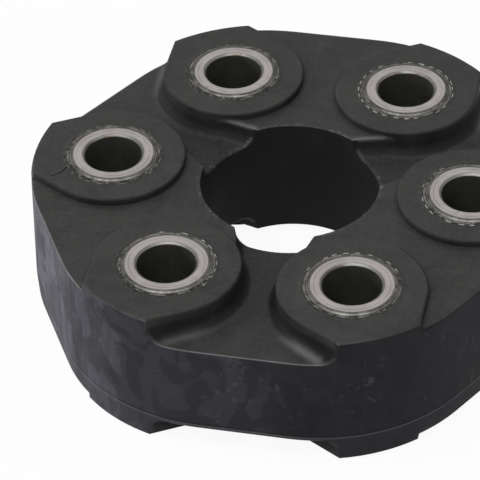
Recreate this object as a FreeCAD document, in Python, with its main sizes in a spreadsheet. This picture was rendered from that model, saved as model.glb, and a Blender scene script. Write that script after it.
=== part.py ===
import FreeCAD, Part
import math
import os
import Sketcher

# Elastic drive shaft coupling disc: a moulded rubber disc on six steel sleeves.
# Frame: origin at the middle of the disc, +Z along the shaft, sleeve 1 on +X.
# Thin webs join sleeves 1-2, 3-4 and 5-6; thick webs join 2-3, 4-5 and 6-1.
# Each thick web holds two cord loops and each thin web one, wound round two sleeves.

# Driving dimensions, in millimetres and degrees.
SIZES = {
    # Sleeves
    "bore_radius": 6.2,
    "sleeve_wall": 3.35,
    "sleeve_proud": 0.4,
    "bore_chamfer": 0.45,
    "rim_chamfer": 0.47,
    "rim_land": 0.05,
    # Cord loops, separator discs and end collars
    "loop_width": 3.75,
    "push_loop_height": 9.0,
    "pull_loop_height": 6.0,
    "loop_edge_round": 1.2,
    "separator_inset": 0.7,
    "separator_thickness": 0.8,
    "flange_thickness": 1.0,
    "collar_wall": 0.65,
    # Pads round the sleeves
    "half_height": 15.8,
    "pad_cover": 2.4,
    "pad_gap": 7.6,
    "pad_flank_angle": 60.0,
    "pad_edge_round": 0.5,
    # Outline of the rubber and its centre hole
    "hole_cover": 1.175,
    "side_flat": 0.6,
    "corner_radius": 37.5,
    "parting_height": 6.3,
    "upper_draft_angle": 1.2,
    "lower_draft_angle": 3.0,
    # Webs between the pads, and the recesses over the thin ones
    "thick_drop": 1.7,
    "thin_drop_top": 5.4,
    "thin_drop_bottom": 5.7,
    "recess_embed": 0.12,
    "recess_draft_angle": 9.0,
    "top_root_round": 2.6,
    "bottom_root_round": 3.3,
    "recess_side_blend": 3.0,
    "recess_side_bite": 1.02,
    "recess_side_angle": 14.0,
    "thin_rim_round": 0.9,
    "thick_rim_round": 0.4,
}
# The disc has six sleeves; every second web is a thick one.
SLEEVES = 6
PAIRS = SLEEVES // 2
FULL_TURN = 360.0
QUARTER_TURN = FULL_TURN / 4.0
STEP = FULL_TURN / SLEEVES
# Shapes that only trim or cut reach this far past the rubber.
OVERRUN = 6.0
# Places closer than this count as one.
TOUCH = 1e-6

doc = FreeCAD.newDocument("CouplingDisc")
sheet = doc.addObject("Spreadsheet::Sheet", "Sizes")
for row, (name, value) in enumerate(SIZES.items(), start=1):
    sheet.set("A%d" % row, name)
    sheet.set("B%d" % row, str(value))
    sheet.setAlias("B%d" % row, name)
doc.recompute()


class Dim:
    """A size: its value, and the formula on the sheet that gives it."""

    def __init__(self, value, formula=None):
        self.value = float(value)
        self.formula = formula or repr(float(value))

    def combine(self, other, sign, value):
        other = as_dim(other)
        return Dim(value(self.value, other.value), "(%s %s %s)" % (self.formula, sign, other.formula))

    def __add__(self, other):
        return self.combine(other, "+", lambda a, b: a + b)

    def __sub__(self, other):
        return self.combine(other, "-", lambda a, b: a - b)

    def __mul__(self, other):
        return self.combine(other, "*", lambda a, b: a * b)

    def __truediv__(self, other):
        return self.combine(other, "/", lambda a, b: a / b)

    def __neg__(self):
        return self * -1.0


def as_dim(value):
    return value if isinstance(value, Dim) else Dim(value)


def dim(name):
    """One driving dimension from the sheet."""
    return Dim(sheet.get(name), "Sizes." + name)


def cos(angle):
    angle = as_dim(angle)
    return Dim(math.cos(math.radians(angle.value)), "cos(%s)" % angle.formula)


def sin(angle):
    angle = as_dim(angle)
    return Dim(math.sin(math.radians(angle.value)), "sin(%s)" % angle.formula)


def tan(angle):
    angle = as_dim(angle)
    return Dim(math.tan(math.radians(angle.value)), "tan(%s)" % angle.formula)


def bind(target, path, amount):
    target.setExpression(path, as_dim(amount).formula)


def vec(x, y, z=0.0):
    return FreeCAD.Vector(x, y, z)


def web_angle(kind, index):
    """Middle of a web, as an angle round the disc."""
    first = STEP / 2.0 if kind == "thin" else STEP * 1.5
    return first + 2.0 * STEP * index


half_height = dim("half_height")
thick_level = half_height - dim("thick_drop")
parting_level = dim("parting_height") - half_height
sleeve_radius = dim("bore_radius") + dim("sleeve_wall")
loop_radius = sleeve_radius + dim("loop_width")
pad_radius = loop_radius + dim("pad_cover")
half_chord = pad_radius + dim("pad_gap") / 2.0
pitch = half_chord / sin(STEP / 2.0)
chord_apothem = pitch * cos(STEP / 2.0)
hole_radius = chord_apothem - loop_radius - dim("hole_cover")
corner_radius = dim("corner_radius")
side_apothem = pitch + pad_radius - dim("side_flat")
corner_offset = (side_apothem - corner_radius) / cos(STEP / 2.0)
outline_radius = corner_offset + corner_radius
separator_start = dim("push_loop_height") / 2.0
pull_start = separator_start + dim("separator_thickness")
flange_start = pull_start + dim("pull_loop_height")
flange_end = flange_start + dim("flange_thickness")


class Profile:
    """A sketch of lines and arcs whose constraints are tied to the sheet."""

    START, END, CENTRE = 1, 2, 3
    ORIGIN = (-1, 1)
    X_AXIS = -1

    def __init__(self, sketch):
        self.sketch = sketch

    def line(self, start, end):
        return self.sketch.addGeometry(Part.LineSegment(start, end), False)

    def arc(self, centre, radius, first, last):
        circle = Part.Circle(centre, vec(0, 0, 1), radius)
        arc = Part.ArcOfCircle(circle, math.radians(first), math.radians(last))
        return self.sketch.addGeometry(arc, False)

    def rule(self, *parts):
        return self.sketch.addConstraint(Sketcher.Constraint(*parts))

    def meet(self, a, end_a, b, end_b):
        self.rule("Coincident", a, end_a, b, end_b)

    def flow(self, a, end_a, b, end_b):
        self.rule("Tangent", a, end_a, b, end_b)

    def tie(self, name, amount, kind, *parts):
        """A named dimension; its number comes last and then follows the sheet."""
        value = math.radians(amount.value) if kind == "Angle" else amount.value
        index = self.rule(kind, *parts, value)
        self.sketch.renameConstraint(index, name)
        bind(self.sketch, "Constraints." + name, amount)

    def place(self, name, item, end, x=None, y=None):
        """Fix a point by its distances from the sketch's origin."""
        if x is not None:
            self.tie(name + "_x", x, "DistanceX", *self.ORIGIN, item, end)
        if y is not None:
            self.tie(name + "_y", y, "DistanceY", *self.ORIGIN, item, end)


def origin_plane(body, role):
    return [feature for feature in body.Origin.OriginFeatures if feature.Role == role][0]


def new_body(label, plane):
    """An empty body and a sketch on one of its origin planes."""
    body = doc.addObject("PartDesign::Body", label)
    body.Label = label
    sketch = body.newObject("Sketcher::SketchObject", label + "_sketch")
    sketch.AttachmentSupport = [(origin_plane(body, plane), "")]
    sketch.MapMode = "FlatFace"
    return body, sketch


def turned_body(label, corners):
    """A body turned about its own Z axis from the (radius, level) corners of its section."""
    body, sketch = new_body(label, "XZ_Plane")
    profile = Profile(sketch)
    points = [vec(radius.value, level.value) for radius, level in corners]
    lines = [profile.line(point, points[(i + 1) % len(points)]) for i, point in enumerate(points)]
    for i, line in enumerate(lines):
        profile.meet(line, Profile.END, lines[(i + 1) % len(lines)], Profile.START)
    for i, (radius, level) in enumerate(corners):
        profile.place("corner_%d" % i, lines[i], Profile.START, radius, level)
    turn = body.newObject("PartDesign::Revolution", label + "_turn")
    turn.Profile = sketch
    turn.ReferenceAxis = (sketch, ["V_Axis"])
    turn.Angle = FULL_TURN
    body.Tip = turn
    return body


def stand_at_sleeve(body, index):
    turn = STEP * index
    body.Placement = FreeCAD.Placement(body.Placement.Base, FreeCAD.Rotation(vec(0, 0, 1), turn))
    bind(body, "Placement.Base.x", pitch * cos(turn))
    bind(body, "Placement.Base.y", pitch * sin(turn))


# Steel sleeve: a turned tube, proud of the pads, chamfered inside and outside at both ends.
def sleeve(index):
    bore = dim("bore_radius")
    end = half_height + dim("sleeve_proud")
    inner_face = bore + dim("bore_chamfer")
    outer_face = sleeve_radius - dim("rim_chamfer")
    bore_end = end - dim("bore_chamfer")
    rim_end = half_height + dim("rim_land")
    body = turned_body("sleeve_%d" % (index + 1), [
        (bore, -bore_end), (inner_face, -end), (outer_face, -end), (sleeve_radius, -rim_end),
        (sleeve_radius, rim_end), (outer_face, end), (inner_face, end), (bore, bore_end)])
    stand_at_sleeve(body, index)
    return body


# End collar: a flange that backs the outer cord loop, with a hub that shows round the sleeve.
def end_collar(index, side, sign):
    rim = sleeve_radius + dim("collar_wall")
    flange = loop_radius
    body = turned_body("end_collar_%s_%d" % (side, index + 1), [
        (sleeve_radius, flange_start * sign), (flange, flange_start * sign),
        (flange, flange_end * sign), (rim, flange_end * sign),
        (rim, half_height * sign), (sleeve_radius, half_height * sign)])
    stand_at_sleeve(body, index)
    return body


# Separator: a flat ring between two cord loops on one sleeve.
def separator(index, side, sign):
    edge = loop_radius - dim("separator_inset")
    body = turned_body("separator_%s_%d" % (side, index + 1), [
        (sleeve_radius, separator_start * sign), (edge, separator_start * sign),
        (edge, pull_start * sign), (sleeve_radius, pull_start * sign)])
    stand_at_sleeve(body, index)
    return body


def racetrack(profile, name, radius):
    """A closed slot outline round two centres one chord apart."""
    reach, round_radius = half_chord.value, radius.value
    right = profile.arc(vec(reach, 0), round_radius, -QUARTER_TURN, QUARTER_TURN)
    top = profile.line(vec(reach, round_radius), vec(-reach, round_radius))
    left = profile.arc(vec(-reach, 0), round_radius, QUARTER_TURN, FULL_TURN - QUARTER_TURN)
    bottom = profile.line(vec(-reach, -round_radius), vec(reach, -round_radius))
    chain = [right, top, left, bottom]
    for i, item in enumerate(chain):
        profile.flow(item, Profile.END, chain[(i + 1) % len(chain)], Profile.START)
    for label, arc, sign in (("right", right, 1.0), ("left", left, -1.0)):
        profile.rule("PointOnObject", arc, Profile.CENTRE, Profile.X_AXIS)
        profile.place(name + "_" + label, arc, Profile.CENTRE, x=half_chord * sign)
        profile.tie(name + "_" + label + "_radius", radius, "Radius", arc)


# Cord loop: a band of wound cord round two neighbouring sleeves.
def cord_loop(label, angle, height, level):
    body, sketch = new_body(label, "XY_Plane")
    profile = Profile(sketch)
    racetrack(profile, "inner", sleeve_radius)
    racetrack(profile, "outer", loop_radius)
    band = body.newObject("PartDesign::Pad", label + "_band")
    band.Profile = sketch
    band.Midplane = True
    bind(band, "Length", height)
    body.Tip = band
    doc.recompute()
    top_and_bottom = [
        "Edge%d" % number for number, edge in enumerate(band.Shape.Edges, start=1)
        if edge.BoundBox.ZLength < TOUCH and outer_edge(edge)]
    edges = body.newObject("PartDesign::Fillet", label + "_edges")
    edges.Base = (band, top_and_bottom)
    bind(edges, "Radius", dim("loop_edge_round"))
    body.Tip = edges
    body.Placement = FreeCAD.Placement(vec(0, 0), FreeCAD.Rotation(vec(0, 0, 1), angle + QUARTER_TURN))
    bind(body, "Placement.Base.x", chord_apothem * cos(angle))
    bind(body, "Placement.Base.y", chord_apothem * sin(angle))
    bind(body, "Placement.Base.z", level)
    return body


def outer_edge(edge):
    """Whether an edge of a racetrack band lies on its outer outline."""
    middle = edge.valueAt((edge.FirstParameter + edge.LastParameter) / 2.0)
    past_centre = max(abs(middle.x) - half_chord.value, 0.0)
    return math.hypot(past_centre, middle.y) > (sleeve_radius + dim("loop_width") / 2.0).value


def placed_sketch(label, turn, level):
    """A sketch parallel to the disc, turned round its axis, at a level tied to the sheet."""
    sketch = doc.addObject("Sketcher::SketchObject", label)
    sketch.Placement = FreeCAD.Placement(vec(0, 0), FreeCAD.Rotation(vec(0, 0, 1), turn))
    bind(sketch, "Placement.Base.z", level)
    return sketch


def extrusion(label, base, up, down, taper_up=0.0, taper_down=0.0):
    """A solid run up and down from a sketch; a taper narrows it on its way."""
    block = doc.addObject("Part::Extrusion", label)
    block.Base = base
    block.DirMode = "Custom"
    block.Dir = vec(0, 0, 1)
    block.Solid = True
    bind(block, "LengthFwd", up)
    bind(block, "LengthRev", down)
    bind(block, "TaperAngle", taper_up)
    bind(block, "TaperAngleRev", taper_down)
    return block


# Pad block: a round boss on its sleeve, whose straight flanks widen out to the disc's edge.
def pad_block(index):
    turn = dim("pad_flank_angle")
    radius = pad_radius
    reach = outline_radius + OVERRUN
    sketch = placed_sketch("pad_outline_%d" % (index + 1), STEP * index, Dim(0.0))
    profile = Profile(sketch)
    tangent_x = pitch + radius * cos(turn)
    tangent_y = radius * sin(turn)
    rise = (reach.value - tangent_x.value) / math.tan(math.radians(turn.value))
    far = vec(reach.value, tangent_y.value - rise)
    near = vec(tangent_x.value, tangent_y.value)
    arc = profile.arc(vec(pitch.value, 0), radius.value, turn.value, FULL_TURN - turn.value)
    upper = profile.line(far, near)
    lower = profile.line(vec(near.x, -near.y), vec(far.x, -far.y))
    close = profile.line(vec(far.x, -far.y), far)
    profile.flow(upper, Profile.END, arc, Profile.START)
    profile.flow(arc, Profile.END, lower, Profile.START)
    profile.meet(lower, Profile.END, close, Profile.START)
    profile.meet(close, Profile.END, upper, Profile.START)
    profile.rule("PointOnObject", arc, Profile.CENTRE, Profile.X_AXIS)
    profile.rule("Vertical", close)
    profile.place("centre", arc, Profile.CENTRE, x=pitch)
    profile.tie("radius", radius, "Radius", arc)
    profile.place("upper_tangent", arc, Profile.START, x=tangent_x)
    profile.place("lower_tangent", arc, Profile.END, x=tangent_x)
    profile.place("reach", close, Profile.START, x=reach)
    return extrusion("pad_block_%d" % (index + 1), sketch, half_height, half_height)


def blend_points(rim, slope, centre, radius, blend):
    """Centre and two ends of the arc that joins a recess's side line to the pad's circle."""
    along = vec(math.cos(slope), math.sin(slope))
    inward = vec(math.sin(slope), -math.cos(slope))
    start = rim + inward * blend - centre
    # The blend's centre lies where this line is one radius plus one blend from the pad's centre.
    half_b = start.dot(along)
    spare = start.dot(start) - (radius + blend) ** 2
    distance = -half_b - math.sqrt(half_b ** 2 - spare)
    line_end = rim + along * distance
    blend_centre = line_end + inward * blend
    arc_end = centre + (blend_centre - centre) * (radius / (radius + blend))
    return blend_centre, line_end, arc_end


def angle_of(point, centre):
    return math.degrees(math.atan2(point.y - centre.y, point.x - centre.x))


# Recess over a thin web: it follows the two pads, and its sides run on to the centre hole.
def recess(side, sign, index, drop, root_round):
    radius = pad_radius - dim("recess_embed")
    blend = dim("recess_side_blend")
    side_angle = dim("recess_side_angle")
    side_offset = radius - dim("recess_side_bite")
    reach = outline_radius + OVERRUN
    flank = dim("pad_flank_angle") - STEP / 2.0
    tangent_x = chord_apothem + radius * cos(flank)
    # Each side line passes the pad's centre at its offset and ends inside the hole.
    inner_x = hole_radius / 2.0
    inner_y = half_chord + (chord_apothem - inner_x) * tan(side_angle) - side_offset / cos(side_angle)
    label = "recess_%s_%d" % (side, index + 1)
    sketch = placed_sketch(label + "_outline", web_angle("thin", index), thick_level * sign)
    profile = Profile(sketch)

    # One half is worked out, and the other is its mirror image about the web's middle.
    centre = vec(chord_apothem.value, half_chord.value)
    rim = vec(inner_x.value, inner_y.value)
    bend, line_end, arc_end = blend_points(
        rim, -math.radians(side_angle.value), centre, radius.value, blend.value)
    near = vec(tangent_x.value, (half_chord - radius * sin(flank)).value)
    far = vec(reach.value, near.y + (reach.value - near.x) / math.tan(math.radians(flank.value)))
    pad_span = (angle_of(arc_end, centre), angle_of(near, centre))
    bend_span = (angle_of(arc_end, bend), angle_of(line_end, bend))
    halves = []
    for half, way in (("left", 1.0), ("right", -1.0)):
        begin, finish = (Profile.START, Profile.END) if way > 0 else (Profile.END, Profile.START)
        pad_angles = sorted(way * angle for angle in pad_span)
        bend_angles = sorted(way * angle for angle in bend_span)
        pad_arc = profile.arc(vec(centre.x, way * centre.y), radius.value, *pad_angles)
        bend_arc = profile.arc(vec(bend.x, way * bend.y), blend.value, *bend_angles)
        side_line = profile.line(vec(rim.x, way * rim.y), vec(line_end.x, way * line_end.y))
        flank_line = profile.line(vec(near.x, way * near.y), vec(far.x, way * far.y))
        profile.flow(flank_line, Profile.START, pad_arc, finish)
        profile.flow(pad_arc, begin, bend_arc, begin)
        profile.flow(bend_arc, finish, side_line, Profile.END)
        profile.place(half + "_pad", pad_arc, Profile.CENTRE, chord_apothem, half_chord * way)
        profile.tie(half + "_pad_radius", radius, "Radius", pad_arc)
        profile.tie(half + "_blend", blend, "Radius", bend_arc)
        profile.place(half + "_tangent", pad_arc, finish, x=tangent_x)
        profile.place(half + "_rim", side_line, Profile.START, inner_x, inner_y * way)
        profile.tie(half + "_slope", side_angle * -way, "Angle", side_line)
        halves.append((side_line, flank_line))
    inner = profile.line(vec(rim.x, -rim.y), rim)
    outer = profile.line(vec(far.x, -far.y), far)
    profile.meet(inner, Profile.START, halves[1][0], Profile.START)
    profile.meet(inner, Profile.END, halves[0][0], Profile.START)
    profile.meet(outer, Profile.START, halves[1][1], Profile.END)
    profile.meet(outer, Profile.END, halves[0][1], Profile.END)
    profile.rule("Vertical", outer)
    profile.place("reach", outer, Profile.START, x=reach)

    depth = drop - dim("thick_drop")
    taper = -dim("recess_draft_angle")
    if sign > 0:
        block = extrusion(label, sketch, Dim(0.0), depth, taper_down=taper)
    else:
        block = extrusion(label, sketch, depth, Dim(0.0), taper_up=taper)
    doc.recompute()
    floor = (thick_level - depth).value * sign
    lowest = [number for number, edge in enumerate(block.Shape.Edges, start=1)
              if is_root(edge, floor, web_angle("thin", index))]
    return rounded_edges(label + "_rounded", block, lowest, root_round)


def is_root(edge, floor, angle):
    """Whether an edge runs along a recess's floor and not across its ends, on the web's middle."""
    box = edge.BoundBox
    if abs(box.ZMin - floor) > TOUCH or abs(box.ZMax - floor) > TOUCH:
        return False
    middle = edge.valueAt((edge.FirstParameter + edge.LastParameter) / 2.0)
    return abs(FreeCAD.Rotation(vec(0, 0, 1), -angle).multVec(middle).y) > TOUCH


def rounded_edges(label, base, numbers, radius):
    """Round the given edges of a solid."""
    rounded = doc.addObject("Part::Fillet", label)
    rounded.Base = base
    rounded.Edges = [(number, radius.value, radius.value) for number in numbers]
    return rounded


def boolean(kind, label, *shapes):
    """A fuse or a common of several objects."""
    joined = doc.addObject("Part::" + kind, label)
    joined.Shapes = list(shapes)
    return joined


def cut(label, base, tool):
    result = doc.addObject("Part::Cut", label)
    result.Base = base
    result.Tool = tool
    return result


def cylinder(label, radius, half_length):
    """A round bar along Z, half of it above the middle of the disc."""
    bar = doc.addObject("Part::Cylinder", label)
    bind(bar, "Radius", radius)
    bind(bar, "Height", half_length * 2.0)
    bind(bar, "Placement.Base.z", -half_length)
    return bar


# Envelope: six flat sides with large round corners, drafted away from the parting ridge.
def envelope():
    sketch = placed_sketch("side_outline", 0.0, parting_level)
    profile = Profile(sketch)
    corners = []
    for index in range(SLEEVES):
        turn = STEP * index
        centre_x = corner_offset * cos(turn)
        centre_y = corner_offset * sin(turn)
        arc = profile.arc(vec(centre_x.value, centre_y.value), corner_radius.value,
                          turn - STEP / 2.0, turn + STEP / 2.0)
        profile.place("corner_%d" % index, arc, Profile.CENTRE, centre_x, centre_y)
        profile.tie("corner_%d_radius" % index, corner_radius, "Radius", arc)
        corners.append(arc)
    for index, arc in enumerate(corners):
        following = corners[(index + 1) % SLEEVES]
        side = profile.line(sketch.getPoint(arc, Profile.END), sketch.getPoint(following, Profile.START))
        profile.flow(arc, Profile.END, side, Profile.START)
        profile.flow(side, Profile.END, following, Profile.START)
    return extrusion("envelope", sketch, half_height - parting_level, half_height + parting_level,
                     -dim("upper_draft_angle"), -dim("lower_draft_angle"))


def rim_and_pad_edges(shape):
    """Edges of the pads' faces and of the centre hole, with the radius that rounds each."""
    chosen = []
    for number, edge in enumerate(shape.Edges, start=1):
        box = edge.BoundBox
        if box.ZLength > TOUCH:
            continue
        level = box.ZMin
        middle = edge.valueAt((edge.FirstParameter + edge.LastParameter) / 2.0)
        on_hole = abs(math.hypot(middle.x, middle.y) - hole_radius.value) < TOUCH
        if abs(abs(level) - half_height.value) < TOUCH:
            chosen.append((number, dim("pad_edge_round")))
        elif on_hole and abs(abs(level) - thick_level.value) < TOUCH:
            chosen.append((number, dim("thick_rim_round")))
        elif on_hole:
            chosen.append((number, dim("thin_rim_round")))
    return chosen


# Rubber disc: webs, recesses and pads in one moulding, with the inserts bonded in it.
def rubber_body(inserts):
    plate = cylinder("web_plate", outline_radius + OVERRUN, thick_level)
    recesses = []
    for index in range(PAIRS):
        recesses.append(recess("top", 1.0, index, dim("thin_drop_top"), dim("top_root_round")))
        recesses.append(recess("bottom", -1.0, index, dim("thin_drop_bottom"), dim("bottom_root_round")))
    webs = cut("webs", plate, boolean("MultiFuse", "recesses", *recesses))
    pads = [pad_block(index) for index in range(SLEEVES)]
    mass = boolean("MultiFuse", "webs_and_pads", webs, *pads)
    moulding = boolean("MultiCommon", "moulding", mass, envelope())
    bored = cut("bored_moulding", moulding, cylinder("centre_hole", hole_radius, half_height + OVERRUN))
    doc.recompute()
    edges = doc.addObject("Part::Fillet", "rounded_moulding")
    edges.Base = bored
    edges.Edges = [(number, radius.value, radius.value)
                   for number, radius in rim_and_pad_edges(bored.Shape)]
    seats = []
    for index in range(SLEEVES):
        seat = cylinder("sleeve_seat_%d" % (index + 1), sleeve_radius, half_height + OVERRUN)
        stand_at_sleeve(seat, index)
        seats.append(seat)
    return cut("rubber_body", edges, boolean("MultiFuse", "cavity", *(seats + inserts)))


SIDES = (("top", 1.0), ("bottom", -1.0))
sleeves = [sleeve(index) for index in range(SLEEVES)]
inserts = []
for index in range(SLEEVES):
    for side, sign in SIDES:
        inserts.append(end_collar(index, side, sign))
        inserts.append(separator(index, side, sign))
pull_level = pull_start + dim("pull_loop_height") / 2.0
for index in range(PAIRS):
    inserts.append(cord_loop("push_cord_%d" % (index + 1), web_angle("thin", index),
                             dim("push_loop_height"), Dim(0.0)))
    for side, sign in SIDES:
        inserts.append(cord_loop("pull_cord_%s_%d" % (side, index + 1), web_angle("thick", index),
                                 dim("pull_loop_height"), pull_level * sign))
parts = sleeves + inserts + [rubber_body(inserts)]
doc.recompute()

faults = [item.Label for item in doc.Objects if "Invalid" in item.State or "Error" in item.State]
for part in parts:
    if part.Shape.isNull() or not part.Shape.isValid() or len(part.Shape.Solids) != 1:
        faults.append(part.Label)
if faults:
    raise RuntimeError("failed: " + ", ".join(faults))

os.makedirs("parts", exist_ok=True)
for part in parts:
    part.Shape.exportStep(os.path.join("parts", part.Label + ".step"))
    print(part.Label, round(part.Shape.Volume, 1))
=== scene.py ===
import math
import random

import bmesh
import bpy
from mathutils import Matrix, Vector


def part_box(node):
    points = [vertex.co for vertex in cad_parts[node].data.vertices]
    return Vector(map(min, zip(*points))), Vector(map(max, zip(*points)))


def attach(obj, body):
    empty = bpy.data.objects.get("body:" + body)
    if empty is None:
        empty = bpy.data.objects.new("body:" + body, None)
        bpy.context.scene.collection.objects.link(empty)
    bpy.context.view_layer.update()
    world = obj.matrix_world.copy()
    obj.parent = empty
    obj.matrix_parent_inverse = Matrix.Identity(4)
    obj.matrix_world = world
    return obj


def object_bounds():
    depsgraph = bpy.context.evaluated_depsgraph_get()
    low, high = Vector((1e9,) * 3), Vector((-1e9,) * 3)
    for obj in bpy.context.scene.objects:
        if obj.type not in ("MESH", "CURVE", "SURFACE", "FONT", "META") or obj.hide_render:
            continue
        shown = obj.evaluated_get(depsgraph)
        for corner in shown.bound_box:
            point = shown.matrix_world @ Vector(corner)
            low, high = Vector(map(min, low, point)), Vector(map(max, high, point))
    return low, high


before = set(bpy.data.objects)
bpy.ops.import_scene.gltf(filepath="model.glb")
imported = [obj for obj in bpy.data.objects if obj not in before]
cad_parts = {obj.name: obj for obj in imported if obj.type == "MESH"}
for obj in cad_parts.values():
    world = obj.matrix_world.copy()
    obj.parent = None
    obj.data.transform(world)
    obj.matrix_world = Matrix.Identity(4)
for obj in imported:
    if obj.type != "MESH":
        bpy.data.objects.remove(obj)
cad_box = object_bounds()

MM = 0.001
SLEEVES = 6
STEP = math.tau / SLEEVES

# Places on the part, taken from its own nodes or measured on them.
RUBBER_LOW, RUBBER_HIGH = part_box("rubber_body")
PAD_LEVEL = RUBBER_HIGH.z
PARTING_LEVEL = RUBBER_LOW.z + 6.3 * MM
RECESS_LEVEL = PAD_LEVEL - 5.4 * MM
THICK_WEB_LEVEL = PAD_LEVEL - 1.7 * MM
HOLE_RADIUS = 19.3 * MM
BORE_RADIUS = 6.2 * MM
FACE_INNER_RADIUS = 6.65 * MM
FACE_OUTER_RADIUS = 9.08 * MM
SLEEVE_RADIUS = 9.55 * MM
COLLAR_RADIUS = 10.2 * MM

# The outer wall is a hexagon whose corners are arcs about points on the sleeves' directions.
CORNER_OFFSET = (RUBBER_HIGH.x - RUBBER_HIGH.y) / (1.0 - math.cos(STEP / 2.0))
CORNER_RADIUS = RUBBER_HIGH.x - CORNER_OFFSET


def sleeve_centre(number):
    low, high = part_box("sleeve_%d" % number)
    return (low + high) / 2.0


PITCH = sleeve_centre(1).x

# A noise lies mostly between these values.
NOISE_LOW = 0.3
NOISE_HIGH = 0.7

# How finely rounded edges, rims and creases are felt out.
EDGE_SAMPLES = 8
COLLAR_EDGE_SAMPLES = 6


class Nodes:
    """A material's node tree, written as expressions."""

    def __init__(self, name):
        self.material = bpy.data.materials.new(name)
        self.material.use_nodes = True
        self.tree = self.material.node_tree
        self.tree.nodes.clear()
        self.output = self.tree.nodes.new("ShaderNodeOutputMaterial")
        self.coordinates = self.tree.nodes.new("ShaderNodeTexCoord")

    def put(self, socket, value):
        if isinstance(value, bpy.types.NodeSocket):
            self.tree.links.new(value, socket)
        elif hasattr(value, "__len__") and len(value) == 3 and socket.type == "RGBA":
            socket.default_value = (*value, 1.0)
        else:
            socket.default_value = value

    def node(self, kind, settings=None, **inputs):
        made = self.tree.nodes.new("ShaderNode" + kind)
        for name, value in (settings or {}).items():
            setattr(made, name, value)
        for name, value in inputs.items():
            self.put(made.inputs[name.replace("_", " ")], value)
        return made

    @property
    def place(self):
        return self.coordinates.outputs["Object"]

    @property
    def normal(self):
        return self.coordinates.outputs["Normal"]

    def math(self, operation, *values):
        made = self.tree.nodes.new("ShaderNodeMath")
        made.operation = operation
        for socket, value in zip(made.inputs, values):
            self.put(socket, value)
        return made.outputs[0]

    def vector(self, operation, *values, output="Vector"):
        made = self.tree.nodes.new("ShaderNodeVectorMath")
        made.operation = operation
        for socket, value in zip(made.inputs, values):
            self.put(socket, value)
        return made.outputs[output]

    def axes(self, vector):
        return self.node("SeparateXYZ", Vector=vector).outputs

    def times(self, first, *others):
        for other in others:
            first = self.math("MULTIPLY", first, other)
        return first

    def length(self, first, second):
        squares = self.math("ADD", self.times(first, first), self.times(second, second))
        return self.math("SQRT", squares)

    def span(self, value, low, high, first=0.0, last=1.0):
        """The value's smooth way from low to high, as a number from first to last."""
        made = self.tree.nodes.new("ShaderNodeMapRange")
        made.interpolation_type = "SMOOTHSTEP"
        made.clamp = True
        for socket, number in zip(made.inputs, (value, low, high, first, last)):
            self.put(socket, number)
        return made.outputs[0]

    def fade(self, value, low, high):
        """1 up to low and 0 from high on."""
        return self.span(value, low, high, 1.0, 0.0)

    def band(self, value, middle, half_width):
        """1 at the middle and 0 a half width away from it."""
        return self.fade(self.math("ABSOLUTE", self.math("SUBTRACT", value, middle)), 0.0, half_width)

    def noise(self, vector, size, detail=3.0, roughness=0.55, distortion=0.0):
        """Noise whose features are about `size` metres wide."""
        made = self.node("TexNoise", Vector=vector, Scale=1.0 / size, Detail=detail,
                         Roughness=roughness, Distortion=distortion)
        return made.outputs["Fac"]

    def lerp(self, factor, first, second):
        made = self.tree.nodes.new("ShaderNodeMix")
        self.put(made.inputs["Factor"], factor)
        self.put(made.inputs[2], first)
        self.put(made.inputs[3], second)
        return made.outputs[0]

    def mix(self, factor, first, second):
        made = self.tree.nodes.new("ShaderNodeMix")
        made.data_type = "RGBA"
        self.put(made.inputs["Factor"], factor)
        self.put(made.inputs[6], first)
        self.put(made.inputs[7], second)
        return made.outputs[2]

    def coat(self, colour, coat, *shares):
        """The colour under a coat, which is a tone and how strongly it shows at most."""
        tone, strength = coat
        return self.mix(self.times(*shares, strength), colour, tone)

    def closeness(self, distance, inside):
        """How near a crease is, or a sharp edge when it looks inside the solid."""
        settings = {"samples": EDGE_SAMPLES, "inside": inside, "only_local": True}
        made = self.node("AmbientOcclusion", settings, Distance=distance)
        return self.math("SUBTRACT", 1.0, made.outputs["AO"])

    def relief(self, height, strength, edge_radius=None, samples=EDGE_SAMPLES):
        """The normal that a height gives, over softened edges where a radius is given."""
        made = self.node("Bump", Strength=strength, Distance=1.0, Height=height)
        if edge_radius is not None:
            edges = self.node("Bevel", {"samples": samples}, Radius=edge_radius)
            self.put(made.inputs["Normal"], edges.outputs["Normal"])
        return made.outputs["Normal"]

    def surface(self, **inputs):
        shader = self.node("BsdfPrincipled", **inputs)
        self.tree.links.new(shader.outputs["BSDF"], self.output.inputs["Surface"])
        return self.material


# Moulded rubber

FACE_TONES = (0.0225, 0.0222, 0.0214), (0.0385, 0.0379, 0.0367)
# The outer wall's tones are set darker than the faces' tones as painted shade.
SHADED_WALL_TONES = (0.0072, 0.0076, 0.0096), (0.0138, 0.0142, 0.0170)
# Painted highlight on the rims, and painted shade along them on one side.
RIM_HIGHLIGHT_TONE = (0.260, 0.262, 0.266)
RIM_SHADE_TONE = (0.003, 0.003, 0.003)

# What lies on the rubber, and the painted light and shade on it: its tone, and how strongly it shows at
# most.
DEPTH_SHADE = (0.004, 0.004, 0.004), 1.0
# Bloom film on the wall, partly painted sheen of the light on its palest side.
FILM_AND_PAINTED_SHEEN = (0.105, 0.101, 0.122), 1.0
# Painted light on the wall below the parting line.
PAINTED_LOWER_WALL_LIGHT = (0.082, 0.081, 0.094), 0.10
DUST = (0.24, 0.24, 0.22), 0.35
FRECKLES = (0.055, 0.054, 0.052), 0.42
RECESS_END_SHADE = (0.004, 0.004, 0.005), 0.55
# Painted highlight at the lip's ends, and pale tips of the webs by the hole.
LIP_HIGHLIGHT_AND_PALE_TIPS = (0.135, 0.137, 0.135), 0.75
SCRATCHES = (0.100, 0.102, 0.108), 0.34
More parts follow.
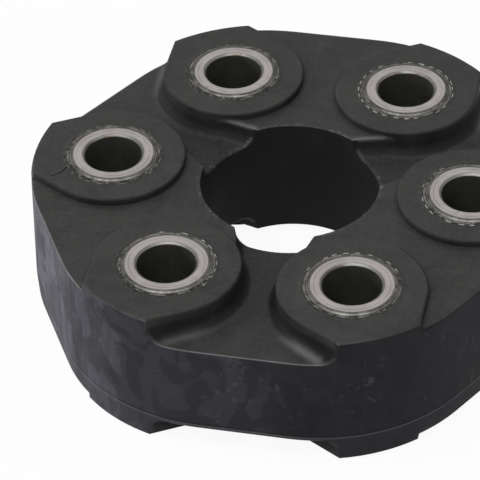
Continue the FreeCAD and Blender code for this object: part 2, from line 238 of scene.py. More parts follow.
# Painted highlight on the parting ridge, and a painted shade line above it.
RIDGE_HIGHLIGHT = (0.12, 0.118, 0.130), 0.50
SEAM_SHADE = (0.004, 0.004, 0.005), 0.60
# Painted shade in the creases at the foot of the pads.
CREASE_SHADE = (0.004, 0.004, 0.004), 0.40
PITS = (0.003, 0.003, 0.003), 0.75
PALE_CRUMBS = (0.10, 0.10, 0.09), 0.30
FLECKS = (0.150, 0.152, 0.155), 0.55
# Painted highlight along the crack's lip.
CRACK_HIGHLIGHT = (0.10, 0.10, 0.10), 0.45
CRACK_GAP = (0.002, 0.002, 0.002), 1.0

# A face counts as a wall, or as a flank, where the height of its normal is below this span.
WALL_NORMAL = (0.25, 0.6)
FLANK_NORMAL = (0.80, 0.99)

# Distances that tell the walls and the pads' outer corners from the rest, from and to.
NEAR_WALL = (CORNER_RADIUS - 1.2 * MM, CORNER_RADIUS - 0.8 * MM)
NEAR_HOLE = (HOLE_RADIUS + 0.5 * MM, HOLE_RADIUS + 1.2 * MM)
NEAR_PAD_CORNER = (1.5 * MM, 4.5 * MM)
NEAR_COLLAR = (COLLAR_RADIUS + 0.3 * MM, COLLAR_RADIUS + 1.0 * MM)

# A pad's outer corner, by its distance along and across the direction of the nearest sleeve.
PAD_CORNER = (55.2 * MM, 9.2 * MM)


class RubberPlaces:
    """Where a point of the rubber is, and the noises that several coats share."""

    def __init__(self, nodes):
        self.x, self.y, self.z = nodes.axes(nodes.place)
        self.level = nodes.math("ABSOLUTE", self.z)
        self.radius = nodes.length(self.x, self.y)
        self.turn = nodes.math("ARCTAN2", self.y, self.x)
        self.fold(nodes)
        self.find_walls(nodes)
        self.clouds = nodes.noise(nodes.place, 15.0 * MM, detail=3.0, roughness=0.5, distortion=0.8)
        self.mottle = nodes.noise(nodes.place, 7.0 * MM, detail=5.0, roughness=0.65, distortion=0.6)
        self.crumbs = nodes.noise(nodes.place, 0.9 * MM, detail=3.0, roughness=0.6)

    def fold(self, nodes):
        """Place from the nearest sleeve's direction, the same on both of its sides."""
        folded = nodes.math("PINGPONG", self.turn, STEP / 2.0)
        self.along = nodes.times(self.radius, nodes.math("COSINE", folded))
        self.across = nodes.times(self.radius, nodes.math("SINE", folded))
        self.folded = nodes.node("CombineXYZ", X=self.along, Y=self.across).outputs["Vector"]
        self.thin_side = nodes.span(nodes.math("SINE", nodes.times(self.turn, SLEEVES / 2.0)), 0.0, 0.1)
        self.from_sleeve = self.distance_from(nodes, PITCH, 0.0)
        self.pad_corner = nodes.fade(self.distance_from(nodes, *PAD_CORNER), *NEAR_PAD_CORNER)

    def find_walls(self, nodes):
        normal_height = nodes.math("ABSOLUTE", nodes.axes(nodes.normal)[2])
        self.upright = nodes.fade(normal_height, *WALL_NORMAL)
        self.near_wall = nodes.span(self.distance_from(nodes, CORNER_OFFSET, 0.0), *NEAR_WALL)
        self.near_hole = nodes.fade(self.radius, *NEAR_HOLE)
        self.outer_wall = nodes.times(self.upright, self.near_wall)
        self.hole_wall = nodes.times(self.upright, self.near_hole)
        inner = nodes.math("SUBTRACT", 1.0, nodes.math("MAXIMUM", self.near_wall, self.near_hole))
        self.flank = nodes.times(nodes.fade(normal_height, *FLANK_NORMAL), inner)

    def distance_from(self, nodes, along, across):
        return nodes.length(nodes.math("SUBTRACT", self.along, along),
                            nodes.math("SUBTRACT", self.across, across))

    def turn_from(self, nodes, side):
        """Angle to a side of the disc, the same both ways round."""
        turn = nodes.math("WRAP", nodes.math("SUBTRACT", self.turn, side), math.pi, -math.pi)
        return nodes.math("ABSOLUTE", turn)


def segment_distance(nodes, point, start, end):
    """Distance from a point to the line between two others."""
    along = end - start
    from_start = nodes.vector("SUBTRACT", point, start)
    share = nodes.math("DIVIDE", nodes.vector("DOT_PRODUCT", from_start, along, output="Value"),
                       along.length_squared)
    share = nodes.math("MINIMUM", nodes.math("MAXIMUM", share, 0.0), 1.0)
    foot = nodes.node("VectorMath", {"operation": "SCALE"}, Vector=along, Scale=share).outputs["Vector"]
    return nodes.vector("LENGTH", nodes.vector("SUBTRACT", from_start, foot), output="Value")


# The film is palest on one side of the wall, where it also holds painted sheen of the light from that
# side, and thins out in steps, at these angles from there.
PALE_SIDE = math.radians(200.0)
PALE_REACH = math.radians(12.0)
PALE_END = math.radians(40.0)
PATCH_END = math.radians(40.0)
CLOUD_END = math.radians(76.0)

# How far the clouds move those angles, and how wide the last two steps are, in radians.
CLOUD_SHIFT = 0.5
PATCH_STEP = 0.012
CLOUD_STEP = 0.1

# How much of the film is left after each step.
PALE_LEFT = 0.42
PATCH_LEFT = 0.52
CLOUD_LEFT = 0.24


def bloom_and_painted_sheen(nodes, places):
    """Pale bloom film on the wall, with painted sheen of the side light where it is palest: upright
    streaks on one side, then thinner patches with crisp edges.
    """
    turn = nodes.math("MULTIPLY_ADD", places.clouds, CLOUD_SHIFT, places.turn_from(nodes, PALE_SIDE))
    turn = nodes.math("SUBTRACT", turn, CLOUD_SHIFT / 2.0)
    film_and_sheen = nodes.times(nodes.span(turn, PALE_REACH, PALE_END, 1.0, PALE_LEFT),
                       nodes.span(turn, PATCH_END - PATCH_STEP, PATCH_END + PATCH_STEP, 1.0, PATCH_LEFT),
                       nodes.span(turn, CLOUD_END - CLOUD_STEP, CLOUD_END + CLOUD_STEP, 1.0, CLOUD_LEFT))

    drawn_out = nodes.vector("MULTIPLY", nodes.place, (1.0, 1.0, 0.16))
    streaks = nodes.noise(drawn_out, 2.4 * MM, detail=6.0, roughness=0.7, distortion=0.8)
    streaks = nodes.span(streaks, 0.34, 0.66, 0.55, 1.18)
    film_and_sheen = nodes.times(film_and_sheen, nodes.lerp(nodes.span(turn, 0.5, 0.8), streaks, 0.95))

    stretched = nodes.vector("MULTIPLY", nodes.place, (1.0, 1.0, 0.8))
    patches = nodes.noise(stretched, 8.0 * MM, detail=3.0, roughness=0.5, distortion=1.1)
    film_and_sheen = nodes.times(film_and_sheen, nodes.span(patches, 0.46, 0.53, 0.60, 1.08))
    tide = nodes.times(nodes.band(patches, 0.535, 0.012), 0.03, nodes.span(turn, 0.4, 0.7))
    film_and_sheen = nodes.math("ADD", film_and_sheen, tide)

    scuffs = nodes.noise(nodes.place, 5.0 * MM, detail=5.0, roughness=0.7, distortion=1.5)
    film_and_sheen = nodes.math("ADD", film_and_sheen, nodes.span(scuffs, 0.60, 0.76, 0.0, 0.20))
    return nodes.times(film_and_sheen, places.outer_wall)


# How much of the depth shade lies in a recess by the hole, on the hole's wall, and on the pads' flanks.
RECESS_SHADE = 0.42
HOLE_WALL_SHADE = 0.55
LOW_FLANK_SHADE = 0.50
HIGH_FLANK_SHADE = 0.22

# Radii between which the shade in a recess thins out, and depths below the pads where a flank is low.
RECESS_SHADE_START = 24.0 * MM
RECESS_SHADE_END = 52.0 * MM
LOW_FLANK_DEPTH = 3.0 * MM
HIGH_FLANK_DEPTH = 1.8 * MM


def depth(nodes, places):
    """How little light gets into the recesses, mostly near the hole, and into the hole."""
    in_recess = nodes.fade(places.level, RECESS_LEVEL + 0.5 * MM, RECESS_LEVEL + 2.5 * MM)
    by_radius = nodes.span(places.radius, RECESS_SHADE_START, RECESS_SHADE_END, RECESS_SHADE, 0.0)
    on_hole_wall = nodes.times(places.hole_wall, HOLE_WALL_SHADE)
    return nodes.math("MAXIMUM", nodes.times(in_recess, by_radius), on_hole_wall)


def flank_depth(nodes, places):
    """Shade on the pads' flanks, which is deeper beside the recesses."""
    share = nodes.span(places.level, PAD_LEVEL - LOW_FLANK_DEPTH, PAD_LEVEL - HIGH_FLANK_DEPTH,
                       LOW_FLANK_SHADE, HIGH_FLANK_SHADE)
    return nodes.times(places.flank, share)


def dust_specks(nodes):
    """A few round specks, each in a cell of its own, scattered over the rubber."""
    cells = nodes.node("TexVoronoi", {"feature": "F1"}, Vector=nodes.place, Scale=1.0 / (4.5 * MM))
    chosen = nodes.span(nodes.axes(cells.outputs["Color"])[0], 0.80, 0.82)
    return nodes.times(nodes.fade(cells.outputs["Distance"], 0.022, 0.036), chosen)


def folded_line(*points):
    """Points by their millimetres along and across the direction of the nearest sleeve."""
    return [Vector((along, across, 0.0)) * MM for along, across in points]


# Lines of the painted highlight at the lip's ends, of the painted shade at a recess's end and of the pale
# web tips, and the level of the lip.
LIP_END = folded_line((43.6, 17.2), (52.8, 12.6))
RECESS_END = folded_line((46.0, 12.9), (55.0, 8.8))
WEB_TIP = folded_line((20.0, 1.6), (26.6, 7.6))
LIP_LEVEL = PAD_LEVEL - 5.0 * MM

# A patch is palest up to its core's distance from the line, and its edge is ragged.
PATCH_CORE = 0.5 * MM
PATCH_RAGGED = 1.2 * MM


def lip_highlights_and_pale_tips(nodes, places):
    """Pale patches where the webs run out: painted highlight at the lip's ends, and pale tips by the hole.
    """
    ragged = nodes.noise(nodes.place, 1.6 * MM, detail=4.0, roughness=0.6)
    towards_end = nodes.times(nodes.span(places.along, 41.0 * MM, 50.0 * MM, 0.15, 1.0),
                              nodes.span(places.x, -5.0 * MM, 5.0 * MM, 0.45, 1.0))
    two_webs = nodes.span(places.y, 8.0 * MM, 12.0 * MM)
    marked = 0.0
    for ends, height, half_height, reach, share in (
            (LIP_END, LIP_LEVEL, 1.7 * MM, 1.8 * MM, towards_end),
            (WEB_TIP, THICK_WEB_LEVEL, 0.8 * MM, 1.5 * MM, two_webs)):
        away = segment_distance(nodes, places.folded, *ends)
        away = nodes.math("MULTIPLY_ADD", ragged, PATCH_RAGGED, away)
        patch = nodes.fade(away, PATCH_CORE, PATCH_CORE + reach)
        patch = nodes.times(patch, nodes.band(places.level, height, half_height), share)
        marked = nodes.math("MAXIMUM", patch, marked)
    inside = nodes.math("SUBTRACT", 1.0, nodes.math("MAXIMUM", places.outer_wall, places.hole_wall))
    return nodes.times(marked, inside, places.thin_side)


def recess_ends(nodes, places):
    """Shade in the rounded foot of a pad, where a thin web's recess runs out through the wall."""
    away = segment_distance(nodes, places.folded, *RECESS_END)
    shade = nodes.times(nodes.fade(away, 0.9 * MM, 2.6 * MM),
                        nodes.span(places.along, 45.0 * MM, 50.0 * MM),
                        nodes.fade(places.level, PAD_LEVEL - 2.6 * MM, PAD_LEVEL - 1.2 * MM))
    return nodes.times(shade, nodes.math("SUBTRACT", 1.0, places.outer_wall), places.thin_side)


def swirls(nodes, places):
    """Faint pale scratches in short curls, here and there on the wall."""
    curls = nodes.noise(nodes.place, 6.5 * MM, detail=1.0, roughness=0.5, distortion=1.3)
    here = nodes.span(nodes.noise(nodes.place, 8.0 * MM, detail=2.0), 0.50, 0.64)
    strength = nodes.span(nodes.noise(nodes.place, 1.8 * MM, detail=3.0, roughness=0.7), 0.46, 0.64)
    return nodes.times(nodes.band(curls, 0.5, 0.055), strength, here, places.outer_wall)


def parting_line(nodes, places):
    """A ridge at the parting level with a painted highlight on it, and a painted shade line above it."""
    ridge = nodes.band(places.z, PARTING_LEVEL, 0.34 * MM)
    seam = nodes.band(places.z, PARTING_LEVEL + 0.55 * MM, 0.30 * MM)
    return nodes.times(ridge, places.outer_wall), nodes.times(seam, places.outer_wall)


# The rims get a painted highlight, except where a painted shade line runs along them on one side.
DARK_SIDE = math.radians(-30.0)
DARK_REACH = math.radians(30.0)
DARK_END = math.radians(37.0)
INNER_RIM_SHARE = 0.06


def rim_highlights_and_shade(nodes, places, colour):
    """Painted highlight on sharp rims, a painted shade line along them on one side, and painted shade in
    the creases at the foot of the pads.
    """
    rim = nodes.span(nodes.closeness(0.5 * MM, inside=True), 0.15, 0.55)
    crease = nodes.span(nodes.closeness(1.5 * MM, inside=False), 0.12, 0.5)
    hole_rim = nodes.times(places.near_hole, nodes.span(places.mottle, 0.35, 0.6))
    outermost = nodes.math("MAXIMUM", places.near_wall, hole_rim)
    highlight_share = nodes.span(places.mottle, NOISE_LOW, NOISE_HIGH, 0.55, 0.95)
    rim_share = nodes.lerp(outermost, INNER_RIM_SHARE, highlight_share)
    dark_share = nodes.times(nodes.fade(places.turn_from(nodes, DARK_SIDE), DARK_REACH, DARK_END),
                             places.near_wall)
    rim_tone = nodes.mix(dark_share, RIM_HIGHLIGHT_TONE, RIM_SHADE_TONE)
    colour = nodes.mix(nodes.times(rim, rim_share), colour, rim_tone)
    return nodes.coat(colour, CREASE_SHADE, crease)


def trimmed_flecks(nodes, places):
    """Flecks of trimmed flash along the rim of the centre hole."""
    flecks = nodes.times(nodes.span(places.crumbs, 0.52, 0.62), places.near_hole)
    flecks = nodes.times(flecks, nodes.span(places.mottle, 0.40, 0.55))
    return nodes.times(flecks, nodes.math("SUBTRACT", 1.0, places.upright))


# Crack on the pad beside the fourth sleeve, and the way from it to the painted highlight along its lip.
CRACK = [Vector((x * MM, y * MM, PAD_LEVEL)) for x, y in ((-50.3, -9.5), (-48.6, -7.9), (-47.6, -5.6))]
TO_CRACK_HIGHLIGHT = Vector((-0.08, 0.34, 0.0)) * MM


def line_distance(nodes, points):
    """Distance to the nearer of the two stretches of a line through three points."""
    first, middle, last = points
    return nodes.math("MINIMUM", segment_distance(nodes, nodes.place, first, middle),
                      segment_distance(nodes, nodes.place, middle, last))


def moulded_rubber():
    nodes = Nodes("moulded_rubber_finish")
    places = RubberPlaces(nodes)
    level_face = nodes.math("SUBTRACT", 1.0, places.upright)
    film_and_sheen = bloom_and_painted_sheen(nodes, places)
    below = nodes.fade(places.z, PARTING_LEVEL - 0.2 * MM, PARTING_LEVEL + 0.2 * MM)
    freckle = nodes.noise(nodes.place, 0.8 * MM, detail=3.0, roughness=0.7)
    ridge, seam = parting_line(nodes, places)
    by_collar = nodes.fade(places.from_sleeve, *NEAR_COLLAR)
    crack = nodes.fade(line_distance(nodes, CRACK), 0.13 * MM, 0.30 * MM)
    crack_highlight = nodes.fade(line_distance(nodes, [point + TO_CRACK_HIGHLIGHT for point in CRACK]), 0.05 * MM, 0.25 * MM)

    face = nodes.mix(nodes.span(places.mottle, NOISE_LOW, NOISE_HIGH), *FACE_TONES)
    # Painted shade: the outer wall gets the darker tones.
    shaded_wall = nodes.mix(nodes.span(places.clouds, 0.35, 0.65), *SHADED_WALL_TONES)
    colour = nodes.mix(places.outer_wall, face, shaded_wall)
    colour = nodes.coat(colour, DEPTH_SHADE, depth(nodes, places))
    colour = nodes.coat(colour, FILM_AND_PAINTED_SHEEN, film_and_sheen)
    colour = nodes.coat(colour, PAINTED_LOWER_WALL_LIGHT, below, places.outer_wall)
    colour = nodes.coat(colour, DUST, dust_specks(nodes))
    colour = nodes.coat(colour, FRECKLES, nodes.span(freckle, NOISE_LOW, NOISE_HIGH), level_face)
    colour = nodes.coat(colour, DEPTH_SHADE, flank_depth(nodes, places))
    colour = nodes.coat(colour, RECESS_END_SHADE, recess_ends(nodes, places))
    colour = nodes.coat(colour, LIP_HIGHLIGHT_AND_PALE_TIPS, lip_highlights_and_pale_tips(nodes, places))
    colour = nodes.coat(colour, SCRATCHES, swirls(nodes, places))
    colour = nodes.coat(colour, RIDGE_HIGHLIGHT, ridge)
    colour = nodes.coat(colour, SEAM_SHADE, seam)
    colour = rim_highlights_and_shade(nodes, places, colour)
    colour = nodes.coat(colour, PITS, nodes.fade(places.crumbs, 0.36, 0.42), by_collar)
    colour = nodes.coat(colour, PALE_CRUMBS, nodes.span(places.crumbs, 0.60, 0.68), by_collar)
    colour = nodes.coat(colour, FLECKS, trimmed_flecks(nodes, places))
    colour = nodes.coat(colour, CRACK_HIGHLIGHT, crack_highlight)
    colour = nodes.coat(colour, CRACK_GAP, crack)

    grain = nodes.noise(nodes.place, 0.35 * MM, detail=2.0, roughness=0.5)
    stretched = nodes.vector("MULTIPLY", nodes.place, (1.0, 1.0, 0.5))
    flow = nodes.noise(stretched, 6.0 * MM, detail=3.0, roughness=0.5)
    height = nodes.times(flow, 0.10 * MM)
    for share, rise in ((grain, 0.014 * MM), (ridge, 0.08 * MM), (seam, -0.06 * MM),
                        (nodes.times(places.crumbs, by_collar), 0.35 * MM), (crack, -0.25 * MM)):
        height = nodes.math("MULTIPLY_ADD", share, rise, height)
    edge_radius = nodes.math("MULTIPLY_ADD", places.pad_corner, 1.7 * MM, 0.4 * MM)

    roughness = nodes.lerp(places.outer_wall,
                           nodes.span(places.mottle, NOISE_LOW, NOISE_HIGH, 0.50, 0.64),
                           nodes.span(places.clouds, NOISE_LOW, NOISE_HIGH, 0.46, 0.62))
    roughness = nodes.math("MULTIPLY_ADD", film_and_sheen, 0.12, roughness)
    shine = nodes.lerp(nodes.math("MAXIMUM", places.upright, places.flank), 0.36, 0.11)
    return nodes.surface(Base_Color=colour, Roughness=roughness, Specular_IOR_Level=shine,
                         Normal=nodes.relief(height, strength=0.8, edge_radius=edge_radius))


# Turned steel of the sleeves

# The bands at the edges of a sleeve's end face reach from here inwards and outwards: painted shade of a
# rounded mouth at the bore, and a darker band at the outer edge.
MOUTH_BAND_RADIUS = 6.80 * MM
OUTER_BAND_RADIUS = 8.65 * MM

FACE_STEEL_TONES = (0.665, 0.612, 0.592), (0.90, 0.842, 0.82)
EDGE_STEEL_TONES = (0.15, 0.147, 0.135), (0.32, 0.31, 0.285)
# Painted shade: the bore's steel is given a near-black tone.
BORE_SHADE_TONES = (0.030, 0.031, 0.0275), (0.043, 0.042, 0.037)

# What lies on the steel, and the painted shade on it: its tone, and how strongly it shows at most.
PATCHES = (0.56, 0.49, 0.46), 0.30
SCORES = (0.20, 0.17, 0.16), 0.5
STAINS = (0.34, 0.29, 0.24), 0.5
# Painted shade in a groove at the outer edge of the end face.
GROOVE_SHADE = (0.03, 0.028, 0.025), 0.7
# Painted shade of a rounded mouth at the bore.
MOUTH_SHADE = (0.25, 0.25, 0.245), 0.85
RUST = (0.13, 0.08, 0.045), 0.7


def radius_about(nodes, centre):
    """Distance of a point from an upright axis."""
    from_centre = nodes.vector("SUBTRACT", nodes.place, (centre.x, centre.y, 0.0))
    flat = nodes.vector("MULTIPLY", from_centre, (1.0, 1.0, 0.0))
    return nodes.vector("LENGTH", flat, output="Value")


def turning_marks(nodes, radius, pitch, detail):
    """Rings left by the lathe, about one pitch apart."""
    return nodes.node("TexNoise", {"noise_dimensions": "1D"}, W=radius, Scale=1.0 / pitch,
                      Detail=detail).outputs["Fac"]


def turned_steel(name, centre):
    nodes = Nodes(name)
    radius = radius_about(nodes, centre)
    sway = nodes.noise(nodes.place, 6.0 * MM, detail=1.0)
    swayed = nodes.math("MULTIPLY_ADD", sway, 0.35 * MM, radius)
    rings = turning_marks(nodes, swayed, pitch=0.36 * MM, detail=2.0)
    fine_rings = turning_marks(nodes, swayed, pitch=0.10 * MM, detail=1.0)
    stain = nodes.noise(nodes.place, 2.6 * MM, detail=4.0, roughness=0.6, distortion=0.4)
    patches = nodes.noise(nodes.place, 4.5 * MM, detail=2.0, roughness=0.5)

    bore = nodes.fade(radius, BORE_RADIUS + 0.03 * MM, BORE_RADIUS + 0.12 * MM)
    ragged = nodes.math("MULTIPLY_ADD", nodes.math("SUBTRACT", stain, 0.5), 0.5 * MM, radius)
    edge = nodes.span(ragged, OUTER_BAND_RADIUS - 0.07 * MM, OUTER_BAND_RADIUS + 0.07 * MM)
    mouth = nodes.fade(ragged, MOUTH_BAND_RADIUS - 0.10 * MM, MOUTH_BAND_RADIUS + 0.10 * MM)
    marked = nodes.math("MAXIMUM", edge, mouth)
    groove = nodes.band(radius, FACE_OUTER_RADIUS + 0.06 * MM, 0.10 * MM)
    inner_bevel = nodes.band(radius, FACE_INNER_RADIUS - 0.3 * MM, 0.35 * MM)

    colour = nodes.mix(nodes.span(rings, NOISE_LOW, NOISE_HIGH), *FACE_STEEL_TONES)
    colour = nodes.coat(colour, PATCHES, nodes.span(patches, 0.40, 0.62))
    colour = nodes.coat(colour, SCORES, nodes.fade(rings, 0.36, 0.42), nodes.span(patches, 0.42, 0.6))
    colour = nodes.coat(colour, STAINS, nodes.span(stain, 0.58, 0.78))
    colour = nodes.coat(colour, MOUTH_SHADE, mouth)
    edge_colour = nodes.mix(nodes.span(stain, 0.35, 0.65), *EDGE_STEEL_TONES)
    edge_colour = nodes.coat(edge_colour, GROOVE_SHADE, groove)
    colour = nodes.mix(edge, colour, edge_colour)
    colour = nodes.coat(colour, RUST, inner_bevel, nodes.span(patches, 0.55, 0.66))
    # Painted shade inside the bore.
    bore_shade_colour = nodes.mix(nodes.span(stain, 0.35, 0.7), *BORE_SHADE_TONES)
    colour = nodes.mix(bore, colour, bore_shade_colour)

    roughness = nodes.span(rings, NOISE_LOW, NOISE_HIGH, 0.42, 0.30)
    roughness = nodes.lerp(marked, roughness, 0.5)
    roughness = nodes.lerp(bore, roughness, 0.62)
    metallic = nodes.lerp(bore, 0.92, 0.2)
    height = nodes.times(fine_rings, 0.005 * MM)
    height = nodes.math("MULTIPLY_ADD", rings, 0.022 * MM, height)
    height = nodes.math("MULTIPLY_ADD", stain, 0.01 * MM, height)
    edge_radius = nodes.lerp(marked, 0.10 * MM, 0.36 * MM)
    return nodes.surface(Base_Color=colour, Metallic=metallic, Roughness=roughness,
                         Normal=nodes.relief(height, strength=0.7, edge_radius=edge_radius))


# Collar rims: dull metal, partly covered by rubber that crept over them in the mould.

# How much of each collar's rim is bare, by the number of its sleeve. It is bare where the noise is
# above a level, which is lower the more is bare, and a little barer on its far side.
BARE_SHARE = {1: 0.66, 2: 0.92, 3: 0.70, 4: 0.66, 5: 0.66, 6: 0.74}
COVERED_LEVEL = 0.72
LEVEL_DROP = 0.4
FAR_SIDE_GAIN = 0.09
CREPT_RUBBER_TONE = (0.016, 0.016, 0.015)
COLLAR_TONES = (0.13, 0.127, 0.115), (0.34, 0.328, 0.300)


def flashed_collar(name, centre, bare_share):
    nodes = Nodes(name)
    radius = radius_about(nodes, centre)
    patches = nodes.noise(nodes.place, 1.5 * MM, detail=4.0, roughness=0.65)
    level = COVERED_LEVEL - LEVEL_DROP * bare_share
    across = nodes.math("SUBTRACT", nodes.axes(nodes.place)[1], centre.y)
    uncovered = nodes.math("MULTIPLY_ADD", across, FAR_SIDE_GAIN / COLLAR_RADIUS, patches)
    bare = nodes.times(nodes.span(uncovered, level - 0.05, level + 0.05),
                       nodes.span(radius, SLEEVE_RADIUS + 0.04 * MM, SLEEVE_RADIUS + 0.14 * MM),
                       nodes.fade(radius, COLLAR_RADIUS - 0.16 * MM, COLLAR_RADIUS - 0.04 * MM))
    metal = nodes.mix(nodes.span(patches, 0.4, 0.65), *COLLAR_TONES)
    colour = nodes.mix(bare, CREPT_RUBBER_TONE, metal)
    relief = nodes.relief(nodes.times(patches, 0.12 * MM), strength=0.9, edge_radius=0.12 * MM,
                          samples=COLLAR_EDGE_SAMPLES)
    return nodes.surface(Base_Color=colour, Metallic=nodes.times(bare, 0.8),
                         Roughness=nodes.lerp(bare, 0.6, 0.42), Normal=relief)


# On some collars a thin skin of rubber dulls the teeth: how much of their paleness is left.
TOOTH_PALENESS = {3: 0.25, 4: 0.42}
TOOTH_TONES = (0.14, 0.14, 0.13), (0.40, 0.395, 0.38)


def tooth_steel(number):
    nodes = Nodes("collar_tooth_steel_%d" % number)
    paleness = TOOTH_PALENESS.get(number, 1.0)
    wear = nodes.noise(nodes.place, 1.1 * MM, detail=3.0, roughness=0.6)
    dark, pale = (Vector(tone) * paleness for tone in TOOTH_TONES)
    return nodes.surface(Base_Color=nodes.mix(nodes.span(wear, 0.30, 0.46), dark, pale), Metallic=0.35,
                         Roughness=nodes.span(wear, 0.35, 0.65, 0.6, 0.40),
                         Normal=nodes.relief(nodes.times(wear, 0.05 * MM), strength=0.5))


# Inner pieces, which don't show.

SEPARATOR_TONES = (0.08, 0.08, 0.08), (0.12, 0.12, 0.12)
CORD_TONES = (0.30, 0.24, 0.15), (0.56, 0.47, 0.32)
STRAND_PITCH = 0.9 * MM


def separator_plastic():
    nodes = Nodes("separator_plastic_finish")
    grain = nodes.noise(nodes.place, 0.8 * MM, detail=3.0)
    return nodes.surface(Base_Color=nodes.mix(grain, *SEPARATOR_TONES),
                         Roughness=nodes.span(grain, NOISE_LOW, NOISE_HIGH, 0.5, 0.65),
                         Normal=nodes.relief(nodes.times(grain, 0.03 * MM), strength=0.4))


def wound_cord():
    nodes = Nodes("wound_cord_finish")
    level = nodes.axes(nodes.place)[2]
    strand = nodes.math("SINE", nodes.times(level, math.tau / STRAND_PITCH))
    fibre = nodes.noise(nodes.place, 0.5 * MM, detail=3.0)
    paleness = nodes.math("MULTIPLY_ADD", strand, 0.3, nodes.times(fibre, 0.7))
    return nodes.surface(Base_Color=nodes.mix(paleness, *CORD_TONES), Roughness=0.85,
                         Normal=nodes.relief(nodes.times(strand, 0.15 * MM), strength=0.8))


def dress(node, material):
    """Give every slot of a CAD node one material."""
    for place in range(len(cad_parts[node].material_slots)):
        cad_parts[node].material_slots[place].material = material


# Teeth of the collars: low curved ridges pressed into the rubber round each rim.

# Directions between which a collar's upper teeth show, in degrees; the rubber covers the others.
TEETH_SHOWN = {1: (115.0, 300.0), 5: (-45.0, 150.0), 6: (35.0, 170.0)}
ALL_ROUND = (0.0, 360.0)
TEETH = 27
MISSING_SHARE = 0.24
TOOTH_RADIUS = 10.40 * MM
TOOTH_LENGTH = 1.9 * MM
TOOTH_WIDTH = 0.40 * MM
TOOTH_RISE = 0.13 * MM
TOOTH_ROOT = 0.25 * MM
TOOTH_END_FULLNESS = 0.02
RIDGE_STEPS = 6
SECTION_STEPS = 6

# How unlike each other the teeth are: play of their places, and least and greatest share of a size.
PLACE_PLAY = 0.14
RADIUS_PLAY = 0.08 * MM
LENGTH_SHARES = (0.70, 1.15)
WIDTH_SHARES = (0.65, 1.1)
RISE_SHARES = (0.5, 1.0)
SEED = 7


def add_tooth(mesh, centre, sign, angle, radius, length, width, rise):
    """A ridge with a half round section that tapers to both of its ends."""
    rings = []
    for step in range(RIDGE_STEPS + 1):
        share = 2.0 * step / RIDGE_STEPS - 1.0
        fullness = math.sqrt(max(1.0 - share ** 4, TOOTH_END_FULLNESS))
        turn = angle + share * length / (2.0 * radius)
        ring = []
        for corner in range(SECTION_STEPS + 1):
            lean = math.pi * corner / SECTION_STEPS
            out = radius + math.cos(lean) * fullness * width / 2.0
            up = PAD_LEVEL - TOOTH_ROOT + math.sin(lean) * fullness * (rise + TOOTH_ROOT)
            place = (centre.x + out * math.cos(turn), centre.y + out * math.sin(turn), sign * up)
            ring.append(mesh.verts.new(place))
        rings.append(ring)
    for ring, following in zip(rings, rings[1:]):
        for corner in range(SECTION_STEPS + 1):
            after = (corner + 1) % (SECTION_STEPS + 1)
            mesh.faces.new((ring[corner], ring[after], following[after], following[corner]))
    mesh.faces.new(rings[0])
    mesh.faces.new(rings[-1])


def collar_teeth(side, number, sign, material, chance):
    mesh = bmesh.new()
    centre = sleeve_centre(number)
    first, last = TEETH_SHOWN.get(number, ALL_ROUND)
    for index in range(TEETH):
        if chance.random() < MISSING_SHARE:
            continue
        angle = math.tau * (index + chance.uniform(-PLACE_PLAY, PLACE_PLAY)) / TEETH
        if sign > 0 and (math.degrees(angle) - first) % 360.0 > last - first:
            continue
        radius = TOOTH_RADIUS + chance.uniform(-RADIUS_PLAY, RADIUS_PLAY)
        length = TOOTH_LENGTH * chance.uniform(*LENGTH_SHARES)
        width = TOOTH_WIDTH * chance.uniform(*WIDTH_SHARES)
        rise = TOOTH_RISE * chance.uniform(*RISE_SHARES)
        add_tooth(mesh, centre, sign, angle, radius, length, width, rise)
    bmesh.ops.recalc_face_normals(mesh, faces=mesh.faces[:])
    data = bpy.data.meshes.new("collar_teeth_%s_%d" % (side, number))
    mesh.to_mesh(data)
    mesh.free()
    for face in data.polygons:
        face.use_smooth = True
    teeth = bpy.data.objects.new(data.name, data)
    bpy.context.scene.collection.objects.link(teeth)
    data.materials.append(material)
    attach(teeth, "root")


def dress_part():
    rubber, plastic, cord = moulded_rubber(), separator_plastic(), wound_cord()
    dress("rubber_body", rubber)
    chance = random.Random(SEED)
    for number in range(1, SLEEVES + 1):
        centre = sleeve_centre(number)
        dress("sleeve_%d" % number, turned_steel("turned_steel_%d" % number, centre))
        tooth = tooth_steel(number)
        collar = flashed_collar("flashed_collar_%d" % number, centre, BARE_SHARE[number])
        for side, sign in (("top", 1.0), ("bottom", -1.0)):
            dress("end_collar_%s_%d" % (side, number), collar)
            dress("separator_%s_%d" % (side, number), plastic)
            collar_teeth(side, number, sign, tooth, chance)
    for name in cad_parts:
        if "cord" in name:
            dress(name, cord)


# Floor: white paper that glows white to the camera and keeps a trace of the part's shadow.

FLOOR_HALF = 2.5
FLOOR_DROP = 0.05 * MM
PAPER_TONES = (0.80, 0.80, 0.80), (0.84, 0.84, 0.84)
WHITE = (1.0, 1.0, 1.0)
GLOW_SHARE = 0.93
REFLECTED_GLOW = 0.5


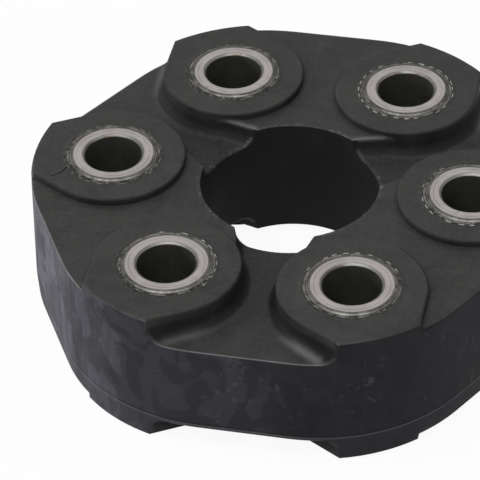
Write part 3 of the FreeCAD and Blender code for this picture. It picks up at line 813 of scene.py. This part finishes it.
def pale_floor():
    nodes = Nodes("pale_floor")
    paths = nodes.node("LightPath").outputs
    reflected = nodes.times(paths["Is Glossy Ray"], REFLECTED_GLOW)
    seen = nodes.math("MAXIMUM", paths["Is Camera Ray"], reflected)
    colour = nodes.mix(nodes.noise(nodes.place, 40.0 * MM, detail=2.0), *PAPER_TONES)
    paper = nodes.node("BsdfDiffuse", Color=colour, Roughness=0.6).outputs["BSDF"]
    white = nodes.node("Emission", Color=WHITE, Strength=1.0).outputs["Emission"]
    blend = nodes.node("MixShader", Fac=nodes.times(seen, GLOW_SHARE))
    nodes.tree.links.new(paper, blend.inputs[1])
    nodes.tree.links.new(white, blend.inputs[2])
    nodes.tree.links.new(blend.outputs["Shader"], nodes.output.inputs["Surface"])
    level = cad_box[0][2] - FLOOR_DROP
    corners = [(x * FLOOR_HALF, y * FLOOR_HALF, level) for x, y in ((-1, -1), (1, -1), (1, 1), (-1, 1))]
    data = bpy.data.meshes.new("floor")
    data.from_pydata(corners, [], [(0, 1, 2, 3)])
    floor = bpy.data.objects.new("floor", data)
    bpy.context.scene.collection.objects.link(floor)
    data.materials.append(nodes.material)


# Light: a bright room, which is plain white to the camera, and two soft lamps.

ROOM_STRENGTH = 0.42
BACKDROP_STRENGTH = 1.0


def studio_room():
    world = bpy.data.worlds.new("studio")
    bpy.context.scene.world = world
    world.use_nodes = True
    tree = world.node_tree
    tree.nodes.clear()
    output = tree.nodes.new("ShaderNodeOutputWorld")
    paths = tree.nodes.new("ShaderNodeLightPath")
    blend = tree.nodes.new("ShaderNodeMixShader")
    tree.links.new(paths.outputs["Is Camera Ray"], blend.inputs[0])
    for socket, strength in ((1, ROOM_STRENGTH), (2, BACKDROP_STRENGTH)):
        background = tree.nodes.new("ShaderNodeBackground")
        background.inputs["Color"].default_value = (*WHITE, 1.0)
        background.inputs["Strength"].default_value = strength
        tree.links.new(background.outputs[0], blend.inputs[socket])
    tree.links.new(blend.outputs[0], output.inputs["Surface"])


def soft_box(name, azimuth, elevation, distance, width, height, power):
    """An area lamp that faces the part, placed by its direction from it in degrees."""
    turn, rise = math.radians(azimuth), math.radians(elevation)
    way = Vector((math.cos(turn) * math.cos(rise), math.sin(turn) * math.cos(rise), math.sin(rise)))
    lamp = bpy.data.lights.new(name, "AREA")
    lamp.shape = "RECTANGLE"
    lamp.size = width
    lamp.size_y = height
    lamp.energy = power
    box = bpy.data.objects.new(name, lamp)
    box.location = way * distance
    box.rotation_euler = way.to_track_quat("Z", "Y").to_euler()
    bpy.context.scene.collection.objects.link(box)
    return box


def studio_lamps():
    soft_box("overhead", azimuth=262.0, elevation=62.0, distance=1.0, width=0.8, height=0.6, power=5.4)
    left_side = soft_box("left_side", azimuth=172.0, elevation=15.0, distance=1.1,
                         width=1.3, height=0.46, power=11.5)
    left_side.visible_glossy = False


# The camera stands where the photograph was taken from.
FOCAL_PIXELS = 2995.0
PICTURE_PIXELS = 480.0
SENSOR = 36.0
VIEW_TURN = 12.92
VIEW_RISE = 39.69
VIEW_ROLL = -1.75
VIEW_DISTANCE = 624.8 * MM
VIEW_TARGET = Vector((-6.07, -23.56, 15.8)) * MM


def camera():
    turn, rise, roll = (math.radians(angle) for angle in (VIEW_TURN, VIEW_RISE, VIEW_ROLL))
    back = Vector((math.sin(turn) * math.cos(rise), -math.cos(turn) * math.cos(rise), math.sin(rise)))
    level = Vector((math.cos(turn), math.sin(turn), 0.0))
    upright = back.cross(level)
    right = level * math.cos(roll) + upright * math.sin(roll)
    up = upright * math.cos(roll) - level * math.sin(roll)
    lens = bpy.data.cameras.new("camera")
    lens.sensor_width = SENSOR
    lens.lens = SENSOR * FOCAL_PIXELS / PICTURE_PIXELS
    view = bpy.data.objects.new("camera", lens)
    axes = Matrix((right, up, back)).transposed().to_4x4()
    view.matrix_world = Matrix.Translation(VIEW_TARGET + back * VIEW_DISTANCE) @ axes
    bpy.context.scene.collection.objects.link(view)
    bpy.context.scene.camera = view


dress_part()
pale_floor()
studio_room()
studio_lamps()
camera()
bpy.context.scene.view_settings.view_transform = "Standard"
